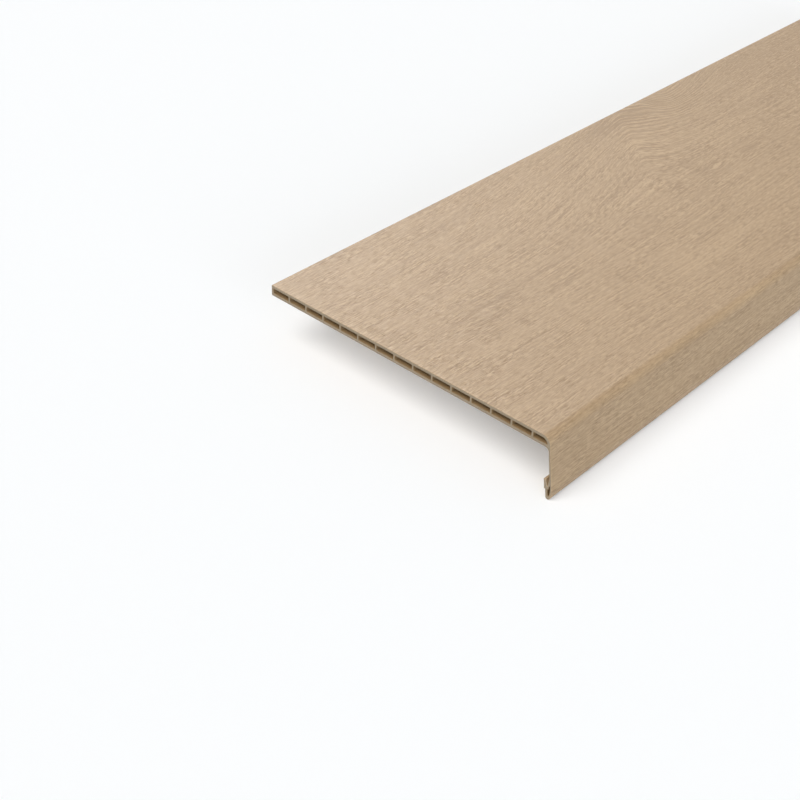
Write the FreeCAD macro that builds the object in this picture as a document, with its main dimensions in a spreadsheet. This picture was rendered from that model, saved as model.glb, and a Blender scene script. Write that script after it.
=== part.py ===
"""Hollow-chamber stair tread: one extruded profile, sawn square at both ends.

The section lies in the YZ plane and runs along X.
+Y is the rear edge of the tread and -Y its nose, and Z is 0 under the foot of the nose.
The origin is in the middle of the length and of the depth. All sizes are in millimetres.
"""

import FreeCAD, Part
import math
import os

import Sketcher

SIZES = (
    ("tread_length", 1000.0, "length along the nose, as sold"),
    ("tread_depth", 300.0, "rear edge to the foremost point of the nose"),
    ("nose_height", 56.0, "tread surface to the bottom of the foot"),
    ("board_thickness", 10.0, "whole thickness of the hollow board"),
    ("face_wall", 2.8, "wall under the tread surface and round the nose"),
    ("back_wall", 2.8, "wall on the underside of the board"),
    ("rear_wall", 2.3, "wall at the rear edge"),
    ("web_wall", 1.8, "web between two chambers"),
    ("chamber_pitch", 19.7, "one web to the next"),
    ("nose_run", 20.0, "least depth kept for the bend and its own chamber"),
    ("chamber_radius", 0.5, "inside corner of a chamber"),
    ("rear_radius", 0.8, "outside corners of the rear edge"),
    ("nose_radius", 8.0, "outside of the bend from board to skirt"),
    ("inner_radius", 4.0, "inside of the same bend"),
    ("skirt_angle", 81.5, "degrees between the skirt and the level"),
    ("skirt_wall", 1.8, "wall of the skirt between bend and foot"),
    ("foot_width", 6.0, "foot from front to back, below the barb"),
    ("barb_step", 1.0, "how far the barb stands out behind the foot"),
    ("barb_height", 8.7, "underside of the barb above the bottom"),
    ("toe_radius", 22.0, "front of the foot, where it turns under"),
    ("heel_radius", 2.0, "bottom of the foot"),
    ("lip_height", 17.3, "top of the lip above the bottom"),
    ("lip_wall", 1.6, "top of the lip, barb to groove"),
    ("groove_depth", 5.3, "groove below the top of the lip"),
    ("groove_centre", 3.9, "bottom of the groove, behind the skirt's face"),
    ("groove_radius", 0.4, "bottom of the groove"),
    ("groove_rise", 2.2, "front edge of the groove above the lip"),
    ("groove_wall", 1.3, "wall between the groove and the foot's chamber"),
    ("groove_floor", 2.6, "wall under the bottom of the groove"),
    ("foot_skin", 1.5, "front wall of the foot"),
    ("foot_back", 2.0, "rear wall of the foot"),
    ("foot_corner", 0.65, "round bottom of the foot's chamber"),
    ("foot_tip", 0.35, "top of the foot's chamber"),
)

START = 1
END = 2
CENTRE = 3
ORIGIN = (-1, 1)
HALF = 0.5

# Directions in the section: RIGHT is towards the rear edge.
RIGHT = (1, 0)
UP = (0, 1)
LEFT = (-1, 0)
DOWN = (0, -1)

# Sizes that follow from the sheet, as formulas.
FORMULAS = {
    "chamber_count": (
        "floor((sizes.tread_depth - sizes.rear_wall - sizes.nose_run) / sizes.chamber_pitch)"
    )
}


def make_sheet(doc):
    """Writes every driving size to one sheet, with its alias and its meaning."""
    sheet = doc.addObject("Spreadsheet::Sheet", "sizes")
    for row, (alias, value, meaning) in enumerate(SIZES, start=1):
        sheet.set(f"A{row}", meaning)
        sheet.set(f"B{row}", str(value))
        sheet.setAlias(f"B{row}", alias)
    doc.recompute()
    return sheet


def formula(alias):
    """The expression for a size: its cell in the sheet, or the formula it follows."""
    return FORMULAS.get(alias, "sizes." + alias)


class Section:
    """A sketch on the body's YZ plane: its places are (depth, height) pairs."""

    def __init__(self, body, name, at):
        self.sketch = body.newObject("Sketcher::SketchObject", name)
        plane = next(p for p in body.Origin.OriginFeatures if p.Role == "YZ_Plane")
        self.sketch.AttachmentSupport = [(plane, "")]
        self.sketch.MapMode = "FlatFace"
        self.at = at
        self.constraints = []
        self.bound = []

    def line(self, start, end):
        return self.sketch.addGeometry(
            Part.LineSegment(FreeCAD.Vector(*start, 0), FreeCAD.Vector(*end, 0)), False
        )

    def arc(self, centre, radius, first, last):
        """An arc that runs anticlockwise between two directions from its centre."""
        circle = Part.Circle(FreeCAD.Vector(*centre, 0), FreeCAD.Vector(0, 0, 1), radius)
        angles = angle_of(first), angle_of(last)
        return self.sketch.addGeometry(Part.ArcOfCircle(circle, *angles), False)

    def tie(self, kind, *places):
        """A constraint with no size, such as Parallel."""
        self.constraints.append(Sketcher.Constraint(kind, *places))

    def meet(self, *places):
        """Two ends that meet at a corner."""
        self.tie("Coincident", *places)

    def smooth(self, *places):
        """Two ends that run into each other without a corner."""
        self.tie("Tangent", *places)

    def size(self, name, kind, places, *terms):
        """A constraint bound to a sum of sizes: each term is a factor and its sizes."""
        value = sum(
            factor * math.prod(getattr(self.at, alias) for alias in aliases)
            for factor, *aliases in terms
        )
        expression = " + ".join(
            " * ".join([f"({factor})"] + [formula(alias) for alias in aliases])
            for factor, *aliases in terms
        )
        start = math.radians(value) if kind == "Angle" else value
        self.bound.append((len(self.constraints), name, expression))
        self.constraints.append(Sketcher.Constraint(kind, *places, start))

    def close(self):
        """Adds the constraints all at once and binds those with a size to the sheet."""
        self.sketch.addConstraint(self.constraints)
        for index, name, expression in self.bound:
            self.sketch.renameConstraint(index, name)
            self.sketch.setExpression("Constraints." + name, expression)


def along(start, direction, distance):
    return (start[0] + direction[0] * distance, start[1] + direction[1] * distance)


def between(start, end):
    return (end[0] - start[0], end[1] - start[1])


def unit(direction):
    length = math.hypot(*direction)
    return (direction[0] / length, direction[1] / length)


def angle_of(direction):
    return math.atan2(direction[1], direction[0])


def opposite(direction):
    return (-direction[0], -direction[1])


def cross(first, second):
    return first[0] * second[1] - first[1] * second[0]


def meet(place, direction, other_place, other_direction):
    """Where two straight lines cross."""
    reach = cross(between(place, other_place), other_direction) / cross(direction, other_direction)
    return along(place, direction, reach)


def touch(place, centre, radius, side):
    """Where the tangent from a place touches a circle: side is 1 or -1."""
    gap = between(centre, place)
    distance = math.hypot(*gap)
    swing = angle_of(gap) + side * math.acos(radius / distance)
    return along(centre, (math.cos(swing), math.sin(swing)), radius)


class Places:
    """The section's main places, worked out from the sheet, where the sketches start."""

    def __init__(self, sheet):
        for alias, _, _ in SIZES:
            setattr(self, alias, float(sheet.get(alias)))
        inside = self.tread_depth - self.rear_wall - self.nose_run
        self.chamber_count = math.floor(inside / self.chamber_pitch)
        angle = math.radians(self.skirt_angle)
        self.back = (math.sin(angle), -math.cos(angle))
        self.down = (-math.cos(angle), -math.sin(angle))
        self.front = -self.tread_depth / 2
        self.rear = self.tread_depth / 2
        self.top = self.nose_height
        self.under = self.top - self.board_thickness
        self.toe_centre = (self.front + self.toe_radius, 0)
        drop = self.under_toe(self.toe_radius, self.foot_width, self.heel_radius)[1]
        self.toe_centre = (self.toe_centre[0], self.heel_radius - drop)
        self.heel_centre = self.under_toe(self.toe_radius, self.foot_width, self.heel_radius)
        self.skirt_foot = along(self.toe_centre, self.back, -self.toe_radius)
        self.nose_centre = self.bend_centre(self.top, 0, self.nose_radius)
        self.inner_centre = self.bend_centre(self.under, self.skirt_wall, self.inner_radius)
        self.groove_bottom = self.behind_skirt(
            self.groove_centre, self.lip_height - self.groove_depth + self.groove_radius
        )
        self.groove_top = self.behind_skirt(self.skirt_wall, self.lip_height + self.groove_rise)
        self.groove_front = touch(self.groove_top, self.groove_bottom, self.groove_radius, 1)

    def under_toe(self, bow, distance, radius):
        """The centre of a round bottom of that radius.

        It runs out of a bow about the toe's centre, and into a line so far behind the skirt.
        """
        across = self.toe_radius - distance + radius
        fall = math.sqrt((bow - radius) ** 2 - across**2)
        return along(along(self.toe_centre, self.back, -across), self.down, fall)

    def behind_skirt(self, distance, height):
        """The place at that height, so far behind the skirt's outer face."""
        start = along(self.skirt_foot, self.back, distance)
        return meet(start, self.down, (0, height), RIGHT)

    def bend_centre(self, level, depth, radius):
        """The centre of a bend between a level face and one so far behind the skirt's."""
        return self.behind_skirt(depth + radius, level - radius)


def draw_board(s, at):
    """Outside of the board, nose and skirt: returns its lines and arcs by name."""
    corner = at.rear_radius
    inside = at.rear - corner
    forward = opposite(at.back)
    skirt_top = along(at.nose_centre, forward, at.nose_radius)
    inner_low = along(at.inner_centre, forward, at.inner_radius)
    lines = {
        "top": s.line((inside, at.top), (at.nose_centre[0], at.top)),
        "nose": s.arc(at.nose_centre, at.nose_radius, UP, forward),
        "skirt": s.line(at.skirt_foot, skirt_top),
        "inner_skirt": s.line(at.groove_top, inner_low),
        "inner": s.arc(at.inner_centre, at.inner_radius, UP, forward),
        "under": s.line((at.inner_centre[0], at.under), (inside, at.under)),
        "low": s.arc((inside, at.under + corner), corner, DOWN, RIGHT),
        "rear": s.line((at.rear, at.under + corner), (at.rear, at.top - corner)),
        "high": s.arc((inside, at.top - corner), corner, RIGHT, UP),
    }
    s.smooth(lines["top"], END, lines["nose"], START)
    s.smooth(lines["nose"], END, lines["skirt"], END)
    s.smooth(lines["inner_skirt"], END, lines["inner"], END)
    s.smooth(lines["inner"], START, lines["under"], START)
    s.smooth(lines["under"], END, lines["low"], START)
    s.smooth(lines["low"], END, lines["rear"], START)
    s.smooth(lines["rear"], END, lines["high"], START)
    s.smooth(lines["high"], END, lines["top"], START)
    s.tie("Horizontal", lines["top"])
    s.tie("Horizontal", lines["under"])
    s.tie("Vertical", lines["rear"])
    s.tie("Parallel", lines["inner_skirt"], lines["skirt"])
    s.size("skirt_angle", "Angle", (lines["skirt"],), (1, "skirt_angle"))
    s.size("rear", "DistanceX", (*ORIGIN, lines["rear"], START), (HALF, "tread_depth"))
    s.size("height", "DistanceY", (*ORIGIN, lines["top"], START), (1, "nose_height"))
    s.size(
        "board", "DistanceY", (lines["under"], START, lines["top"], END),
        (1, "board_thickness"),
    )
    s.size(
        "skirt_wall", "Distance", (lines["inner_skirt"], END, lines["skirt"]),
        (1, "skirt_wall"),
    )
    s.size("low_radius", "Radius", (lines["low"],), (1, "rear_radius"))
    s.size("high_radius", "Radius", (lines["high"],), (1, "rear_radius"))
    s.size("nose_radius", "Radius", (lines["nose"],), (1, "nose_radius"))
    s.size("inner_radius", "Radius", (lines["inner"],), (1, "inner_radius"))
    return lines


def draw_foot(s, at, board):
    """Outside of the foot, joined to the skirt: returns its toe and its groove's front."""
    barb_in = at.behind_skirt(at.foot_width, at.barb_height)
    barb_out = along(barb_in, at.back, at.barb_step)
    lip_depth = at.foot_width + at.barb_step
    lip_rear = at.behind_skirt(lip_depth, at.lip_height)
    lip_front = at.behind_skirt(lip_depth - at.lip_wall, at.lip_height)
    groove_rear = touch(lip_front, at.groove_bottom, at.groove_radius, -1)
    first = between(at.groove_bottom, at.groove_front)
    last = between(at.groove_bottom, groove_rear)
    turn = between(at.toe_centre, at.heel_centre)

    toe = s.arc(at.toe_centre, at.toe_radius, opposite(at.back), turn)
    heel = s.arc(at.heel_centre, at.heel_radius, turn, at.back)
    back = s.line(along(at.heel_centre, at.back, at.heel_radius), barb_in)
    barb = s.line(barb_in, barb_out)
    lip_back = s.line(barb_out, lip_rear)
    lip_top = s.line(lip_rear, lip_front)
    slope = s.line(lip_front, groove_rear)
    groove = s.arc(at.groove_bottom, at.groove_radius, first, last)
    face = s.line(at.groove_front, at.groove_top)

    s.smooth(board["skirt"], START, toe, START)
    s.smooth(toe, END, heel, START)
    s.smooth(heel, END, back, START)
    s.meet(back, END, barb, START)
    s.meet(barb, END, lip_back, START)
    s.meet(lip_back, END, lip_top, START)
    s.meet(lip_top, END, slope, START)
    s.smooth(slope, END, groove, END)
    s.smooth(groove, START, face, START)
    s.meet(face, END, board["inner_skirt"], START)
    s.tie("Parallel", back, board["skirt"])
    s.tie("Parallel", lip_back, board["skirt"])
    s.tie("Perpendicular", barb, board["skirt"])
    s.tie("Horizontal", lip_top)
    s.size("toe_radius", "Radius", (toe,), (1, "toe_radius"))
    s.size("heel_radius", "Radius", (heel,), (1, "heel_radius"))
    s.size("groove_radius", "Radius", (groove,), (1, "groove_radius"))
    s.size("front", "DistanceX", (toe, CENTRE, *ORIGIN), (HALF, "tread_depth"), (-1, "toe_radius"))
    s.size("heel", "DistanceY", (*ORIGIN, heel, CENTRE), (1, "heel_radius"))
    s.size("foot_width", "Distance", (back, END, board["skirt"]), (1, "foot_width"))
    s.size("barb_step", "Distance", (barb,), (1, "barb_step"))
    s.size("barb_height", "DistanceY", (*ORIGIN, barb, START), (1, "barb_height"))
    s.size("lip_height", "DistanceY", (*ORIGIN, lip_top, START), (1, "lip_height"))
    s.size("lip_wall", "Distance", (lip_top, END, lip_back), (1, "lip_wall"))
    s.size("groove_centre", "Distance", (groove, CENTRE, board["skirt"]), (1, "groove_centre"))
    s.size(
        "groove_height", "DistanceY", (*ORIGIN, groove, CENTRE),
        (1, "lip_height"), (-1, "groove_depth"), (1, "groove_radius"),
    )
    s.size("groove_top", "DistanceY", (*ORIGIN, face, END), (1, "lip_height"), (1, "groove_rise"))
    return toe, face


def draw_nose_chamber(s, at, board):
    """The last chamber, whose front follows the bend down to a sharp edge."""
    radius = at.nose_radius - at.face_wall
    roof_height = at.top - at.face_wall
    floor_height = at.under + at.back_wall
    end = at.rear - at.rear_wall - at.chamber_pitch * at.chamber_count
    corner = at.chamber_radius
    rise = floor_height - at.nose_centre[1]
    tip = (at.nose_centre[0] - math.sqrt(radius**2 - rise**2), floor_height)

    roof = s.line((end - corner, roof_height), (at.nose_centre[0], roof_height))
    bow = s.arc(at.nose_centre, radius, UP, between(at.nose_centre, tip))
    floor = s.line(tip, (end - corner, floor_height))
    low = s.arc((end - corner, floor_height + corner), corner, DOWN, RIGHT)
    back = s.line((end, floor_height + corner), (end, roof_height - corner))
    high = s.arc((end - corner, roof_height - corner), corner, RIGHT, UP)

    s.smooth(roof, END, bow, START)
    s.meet(bow, END, floor, START)
    s.smooth(floor, END, low, START)
    s.smooth(low, END, back, START)
    s.smooth(back, END, high, START)
    s.smooth(high, END, roof, START)
    s.tie("Coincident", bow, CENTRE, board["nose"], CENTRE)
    s.tie("Horizontal", roof)
    s.tie("Horizontal", floor)
    s.tie("Vertical", back)
    s.size("roof_wall", "DistanceY", (roof, START, board["top"], END), (1, "face_wall"))
    s.size("floor_wall", "DistanceY", (board["under"], START, floor, END), (1, "back_wall"))
    s.size(
        "nose_chamber", "DistanceX", (back, START, board["rear"], START),
        (1, "rear_wall"), (1, "chamber_pitch", "chamber_count"),
    )
    s.size("low_corner", "Radius", (low,), (1, "chamber_radius"))
    s.size("high_corner", "Radius", (high,), (1, "chamber_radius"))


def draw_foot_chamber(s, at, board, toe, face):
    """The closed chamber in the foot, between the skirt's face and the groove."""
    down_face = unit(between(at.groove_top, at.groove_front))
    away = (down_face[1], -down_face[0])
    tip_line = along(at.groove_top, away, at.groove_wall + at.foot_tip)
    tip_start = at.behind_skirt(at.foot_skin + at.foot_tip, at.lip_height)
    tip_centre = meet(tip_line, down_face, tip_start, at.down)
    tip_rear = along(tip_centre, away, -at.foot_tip)
    inside = at.toe_radius - at.foot_skin
    depth = at.foot_width - at.foot_back
    bottom_centre = at.under_toe(inside, depth, at.foot_corner)
    turn = between(at.toe_centre, bottom_centre)
    level = at.lip_height - at.groove_depth - at.groove_floor
    shoulder_rear = at.behind_skirt(depth, level)
    shoulder_front = meet(tip_rear, down_face, (0, level), RIGHT)
    forward = opposite(at.back)
    tip_front = along(tip_centre, forward, at.foot_tip)

    tip = s.arc(tip_centre, at.foot_tip, opposite(away), forward)
    front = s.line(tip_front, along(at.toe_centre, forward, inside))
    bow = s.arc(at.toe_centre, inside, forward, turn)
    bottom = s.arc(bottom_centre, at.foot_corner, turn, at.back)
    rear = s.line(along(bottom_centre, at.back, at.foot_corner), shoulder_rear)
    shoulder = s.line(shoulder_rear, shoulder_front)
    slant = s.line(shoulder_front, tip_rear)

    s.smooth(tip, END, front, START)
    s.smooth(front, END, bow, START)
    s.smooth(bow, END, bottom, START)
    s.smooth(bottom, END, rear, START)
    s.meet(rear, END, shoulder, START)
    s.meet(shoulder, END, slant, START)
    s.smooth(slant, END, tip, START)
    s.tie("Coincident", bow, CENTRE, toe, CENTRE)
    s.tie("Horizontal", shoulder)
    s.tie("Parallel", front, board["skirt"])
    s.tie("Parallel", rear, board["skirt"])
    s.tie("Parallel", slant, face)
    s.size("foot_skin", "Distance", (front, START, board["skirt"]), (1, "foot_skin"))
    s.size(
        "foot_back", "Distance", (rear, START, board["skirt"]),
        (1, "foot_width"), (-1, "foot_back"),
    )
    s.size("groove_wall", "Distance", (slant, END, face), (1, "groove_wall"))
    s.size(
        "shoulder", "DistanceY", (*ORIGIN, shoulder, START),
        (1, "lip_height"), (-1, "groove_depth"), (-1, "groove_floor"),
    )
    s.size("foot_corner", "Radius", (bottom,), (1, "foot_corner"))
    s.size("foot_tip", "Radius", (tip,), (1, "foot_tip"))


def draw_chamber(s, at):
    """The chamber next to the rear edge: a box with rounded corners."""
    corner = at.chamber_radius
    rear = at.rear - at.rear_wall
    front = rear - (at.chamber_pitch - at.web_wall)
    roof_height = at.top - at.face_wall
    floor_height = at.under + at.back_wall

    roof = s.line((rear - corner, roof_height), (front + corner, roof_height))
    front_high = s.arc((front + corner, roof_height - corner), corner, UP, LEFT)
    side = s.line((front, roof_height - corner), (front, floor_height + corner))
    front_low = s.arc((front + corner, floor_height + corner), corner, LEFT, DOWN)
    floor = s.line((front + corner, floor_height), (rear - corner, floor_height))
    rear_low = s.arc((rear - corner, floor_height + corner), corner, DOWN, RIGHT)
    back = s.line((rear, floor_height + corner), (rear, roof_height - corner))
    rear_high = s.arc((rear - corner, roof_height - corner), corner, RIGHT, UP)

    loop = (roof, front_high, side, front_low, floor, rear_low, back, rear_high)
    for one, following in zip(loop, loop[1:] + loop[:1]):
        s.smooth(one, END, following, START)
    for level in (roof, floor):
        s.tie("Horizontal", level)
    for upright in (side, back):
        s.tie("Vertical", upright)
    for number, arc in enumerate((front_high, front_low, rear_low, rear_high), start=1):
        s.size(f"corner{number}", "Radius", (arc,), (1, "chamber_radius"))
    s.size("back", "DistanceX", (*ORIGIN, back, START), (HALF, "tread_depth"), (-1, "rear_wall"))
    s.size(
        "width", "DistanceX", (side, START, back, START),
        (1, "chamber_pitch"), (-1, "web_wall"),
    )
    s.size("roof", "DistanceY", (*ORIGIN, roof, START), (1, "nose_height"), (-1, "face_wall"))
    s.size(
        "chamber_height", "DistanceY", (floor, START, roof, START),
        (1, "board_thickness"), (-1, "face_wall"), (-1, "back_wall"),
    )


def extrude(body, kind, name, profile):
    """A pad or pocket of a section along the whole tread, both ways from the middle."""
    feature = body.newObject(kind, name)
    feature.Profile = profile
    feature.SideType = "Symmetric"
    feature.Type = "Length"
    feature.setExpression("Length", "sizes.tread_length")
    profile.Visibility = False
    return feature


def repeat_chamber(body, pocket, sketch):
    """Repeats the first chamber from the rear edge towards the nose."""
    pattern = body.newObject("PartDesign::LinearPattern", "chambers")
    pattern.Originals = [pocket]
    pattern.Direction = (sketch, ["H_Axis"])
    pattern.Reversed = True
    pattern.Mode = "Spacing"
    pattern.setExpression("Offset", "sizes.chamber_pitch")
    pattern.setExpression("Occurrences", formula("chamber_count"))
    body.Tip = pattern
    return pattern


def check(doc, sections, body, solid_volume):
    """Stops where a sketch is loose, a feature has failed or a chamber is not cut."""
    for section in sections:
        if section.sketch.solve() != 0 or not section.sketch.FullyConstrained:
            raise RuntimeError(section.sketch.Name + " is not fully constrained")
    for feature in doc.Objects:
        if "Invalid" in feature.State or "Error" in feature.State:
            raise RuntimeError(feature.Name + " has failed")
    shape = body.Shape
    if shape.isNull() or not shape.isValid() or len(shape.Solids) != 1:
        raise RuntimeError(body.Label + " is not one valid solid")
    if shape.Volume >= solid_volume:
        raise RuntimeError("the chambers are not cut")


def main():
    doc = FreeCAD.newDocument("stair_tread")
    at = Places(make_sheet(doc))
    body = doc.addObject("PartDesign::Body", "tread_profile")
    body.Label = "tread_profile"
    body.Placement = FreeCAD.Placement()
    doc.recompute()

    outline = Section(body, "outline", at)
    board = draw_board(outline, at)
    toe, face = draw_foot(outline, at, board)
    draw_nose_chamber(outline, at, board)
    draw_foot_chamber(outline, at, board, toe, face)
    outline.close()
    extrude(body, "PartDesign::Pad", "profile", outline.sketch)
    doc.recompute()
    solid_volume = body.Shape.Volume

    chamber = Section(body, "chamber", at)
    draw_chamber(chamber, at)
    chamber.close()
    pocket = extrude(body, "PartDesign::Pocket", "first_chamber", chamber.sketch)
    doc.recompute()
    repeat_chamber(body, pocket, chamber.sketch)
    doc.recompute()

    check(doc, (outline, chamber), body, solid_volume)
    os.makedirs("parts", exist_ok=True)
    for node in (body,):
        node.Shape.exportStep(os.path.join("parts", node.Label + ".step"))


main()
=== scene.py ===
"""Hollow-chamber stair tread with a brushed light oak face, dressed around its CAD profile.

All places are in metres in the CAD frame: X runs along the tread, +Y is its rear edge and
-Y its nose, and Z is 0 under the foot. A place in the section is a (depth, height) pair.
"""

import math

import bpy
import numpy
from bpy.props import FloatProperty, FloatVectorProperty, IntProperty, PointerProperty
from mathutils import Matrix, Vector
from mathutils.kdtree import KDTree


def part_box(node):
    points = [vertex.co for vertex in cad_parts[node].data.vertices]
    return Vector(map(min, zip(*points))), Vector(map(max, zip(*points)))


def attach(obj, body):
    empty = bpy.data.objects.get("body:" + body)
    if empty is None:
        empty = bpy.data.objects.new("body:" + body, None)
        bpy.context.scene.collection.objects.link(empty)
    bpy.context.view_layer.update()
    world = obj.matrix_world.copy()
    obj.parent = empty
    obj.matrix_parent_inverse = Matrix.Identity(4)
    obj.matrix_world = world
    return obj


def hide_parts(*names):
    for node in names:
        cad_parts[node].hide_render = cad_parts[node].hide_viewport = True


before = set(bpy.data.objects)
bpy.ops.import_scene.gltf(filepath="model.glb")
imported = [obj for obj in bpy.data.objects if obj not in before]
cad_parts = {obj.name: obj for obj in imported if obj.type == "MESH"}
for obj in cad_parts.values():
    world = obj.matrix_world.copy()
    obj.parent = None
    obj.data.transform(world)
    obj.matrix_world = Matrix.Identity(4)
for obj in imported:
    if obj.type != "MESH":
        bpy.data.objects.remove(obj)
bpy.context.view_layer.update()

bl_info = {
    "name": "Hollow-chamber stair tread",
    "version": (1, 0, 0),
    "blender": (4, 5, 0),
    "location": "3D View > Sidebar > Stair Tread",
    "description": "Builds a hollow stair tread with a brushed oak face, and a studio round it",
    "category": "Add Mesh",
}

NODE = "tread_profile"
BODY = "root"
LOW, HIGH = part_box(NODE)
AXIS = (1.0, 0.0, 0.0)
WHITE = (1.0, 1.0, 1.0)
WARM = (1.0, 0.98, 0.95)
COOL = (0.77, 0.87, 1.0)
SKY = (0.85, 0.93, 1.0)
UP = Vector((0.0, 1.0))
DOWN = -UP
REARWARD = Vector((1.0, 0.0))
ROUND = 1e-6
MERGE = 1e-6


def length_value(name, description, default):
    return FloatProperty(
        name=name, description=description, default=default, min=0.0,
        unit="LENGTH", subtype="DISTANCE", precision=5,
    )


def colour_value(name, description, default):
    return FloatVectorProperty(
        name=name, description=description, default=default, size=3,
        min=0.0, max=1.0, subtype="COLOR",
    )


class TreadSizes(bpy.types.PropertyGroup):
    """Sizes of the profile, as in the CAD part."""

    length: length_value("Length", "Length along the nose", HIGH.x - LOW.x)
    depth: length_value("Depth", "Rear edge to the foremost point", HIGH.y - LOW.y)
    height: length_value("Height", "Tread surface to the bottom of the foot", HIGH.z - LOW.z)
    board: length_value("Board", "Whole thickness of the hollow board", 0.010)
    face_wall: length_value("Face wall", "Wall under the tread surface", 0.0028)
    back_wall: length_value("Back wall", "Wall on the underside", 0.0028)
    rear_wall: length_value("Rear wall", "Wall at the rear edge", 0.0023)
    web_wall: length_value("Web", "Web between two chambers", 0.0018)
    pitch: length_value("Pitch", "One web to the next", 0.0197)
    chambers: IntProperty(name="Chambers", description="Square chambers", default=14, min=1)
    chamber_radius: length_value("Chamber corners", "Inside corners of a chamber", 0.0005)
    rear_radius: length_value("Rear corners", "Outside corners of the rear edge", 0.0008)
    nose_radius: length_value("Nose radius", "Outside of the bend", 0.008)
    inner_radius: length_value("Inner radius", "Inside of the bend", 0.004)
    skirt_angle: FloatProperty(
        name="Skirt angle", description="Skirt to the level",
        default=math.radians(81.5), subtype="ANGLE", unit="ROTATION",
    )
    skirt_wall: length_value("Skirt wall", "Wall of the skirt", 0.0018)
    foot_width: length_value("Foot width", "Foot below the barb", 0.006)
    barb_step: length_value("Barb step", "How far the barb stands out", 0.001)
    barb_height: length_value("Barb height", "Underside of the barb", 0.0087)
    toe_radius: length_value("Toe radius", "Front of the foot", 0.022)
    heel_radius: length_value("Heel radius", "Bottom of the foot", 0.002)
    lip_height: length_value("Lip height", "Top of the lip", 0.0173)
    lip_wall: length_value("Lip wall", "Top of the lip, barb to groove", 0.0016)
    groove_depth: length_value("Groove depth", "Groove below the lip", 0.0053)
    groove_centre: length_value("Groove centre", "Bottom of the groove, behind the face", 0.0039)
    groove_radius: length_value("Groove radius", "Bottom of the groove", 0.0004)
    groove_rise: length_value("Groove rise", "Front of the groove above the lip", 0.0022)
    groove_wall: length_value("Groove wall", "Groove to the foot's chamber", 0.0013)
    groove_floor: length_value("Groove floor", "Wall under the groove", 0.0026)
    foot_skin: length_value("Foot front wall", "Front wall of the foot", 0.0015)
    foot_back: length_value("Foot rear wall", "Rear wall of the foot", 0.002)
    foot_corner: length_value("Foot chamber bottom", "Round bottom of its chamber", 0.00065)
    foot_tip: length_value("Foot chamber top", "Top of its chamber", 0.00035)


class TreadFinish(bpy.types.PropertyGroup):
    """Colours and relief of the oak face and of the bare profile."""

    light: colour_value("Light oak", "Palest wood of the face", (0.474, 0.328, 0.191))
    dark: colour_value("Dark oak", "Darkest wood of the face", (0.326, 0.215, 0.119))
    pore: colour_value("Pores", "Open pores of the face", (0.24, 0.155, 0.092))
    sawn: colour_value("Sawn end", "Plastic where it was sawn", (0.236, 0.180, 0.116))
    bare: colour_value("Bare profile", "Plastic as it was drawn", (0.40, 0.288, 0.172))
    # The same plastic as the bare profile, made much darker: painted shade deep inside the chambers.
    inside: colour_value("Chambers", "Plastic inside the chambers", (0.218, 0.137, 0.062))
    relief: length_value("Relief", "Depth of the brushed grain", 0.00008)
    bump: length_value("Fine relief", "Depth of pores and fibres in the shading", 0.00010)
    columns: IntProperty(name="Columns", description="Steps along the tread", default=250)
    row: length_value("Row", "Distance between rows across the face", 0.00125)
    rim: length_value("Sawn edge", "Softening of the sawn edges", 0.00025)


class TreadStudio(bpy.types.PropertyGroup):
    """The studio: floor, light and camera."""

    surround: FloatProperty(name="Surround", description="White all round", default=0.32)
    overhead: FloatProperty(name="Overhead", description="Soft light from above", default=2.48)
    front: FloatProperty(name="Front", description="Soft light on the skirt", default=2.60)
    sheen: FloatProperty(name="Reflector", description="White card behind, for sheen", default=5.3)
    floor: colour_value("Floor", "Paper under the tread", (0.955, 0.95, 0.945))
    lift: FloatProperty(
        name="Pale shadow", description="How much the camera sees plain paper", default=0.30,
        min=0.0, max=1.0, subtype="FACTOR",
    )


def unit(v):
    return v.normalized()


def cross(a, b):
    return a.x * b.y - a.y * b.x


def angle_of(v):
    return math.atan2(v.y, v.x)


def meet(place, direction, other, other_direction):
    """Where two straight lines cross."""
    return place + direction * (cross(other - place, other_direction) / cross(direction, other_direction))


def touch(place, centre, radius, side):
    """Where the tangent from a place touches a circle: side is 1 or -1."""
    gap = place - centre
    swing = angle_of(gap) + side * math.acos(radius / gap.length)
    return centre + Vector((math.cos(swing), math.sin(swing))) * radius


class Section:
    """Main places of the section, worked out from the sizes."""

    def __init__(self, t):
        self.t = t
        angle = t.skirt_angle
        self.back = Vector((math.sin(angle), -math.cos(angle)))
        self.down = Vector((-math.cos(angle), -math.sin(angle)))
        self.rear = HIGH.y
        self.front = HIGH.y - t.depth
        self.top = HIGH.z
        self.under = HIGH.z - t.board
        self.toe_centre = Vector((self.front + t.toe_radius, 0.0))
        drop = self.under_toe(t.toe_radius, t.foot_width, t.heel_radius).y
        self.toe_centre.y = HIGH.z - t.height + t.heel_radius - drop
        self.heel_centre = self.under_toe(t.toe_radius, t.foot_width, t.heel_radius)
        self.skirt_foot = self.toe_centre - self.back * t.toe_radius
        self.nose_centre = self.bend_centre(self.top, 0.0, t.nose_radius)
        self.inner_centre = self.bend_centre(self.under, t.skirt_wall, t.inner_radius)
        self.groove_bottom = self.behind_skirt(
            t.groove_centre, t.lip_height - t.groove_depth + t.groove_radius
        )
        self.groove_top = self.behind_skirt(t.skirt_wall, t.lip_height + t.groove_rise)
        self.groove_front = touch(self.groove_top, self.groove_bottom, t.groove_radius, 1)

    def under_toe(self, bow, distance, radius):
        """Centre of a round bottom that runs out of a bow about the toe's centre."""
        across = self.t.toe_radius - distance + radius
        fall = math.sqrt((bow - radius) ** 2 - across**2)
        return self.toe_centre - self.back * across + self.down * fall

    def behind_skirt(self, distance, height):
        """The place at that height, so far behind the skirt's outer face."""
        start = self.skirt_foot + self.back * distance
        return meet(start, self.down, Vector((0.0, height)), REARWARD)

    def bend_centre(self, level, depth, radius):
        return self.behind_skirt(depth + radius, level - radius)


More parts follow.
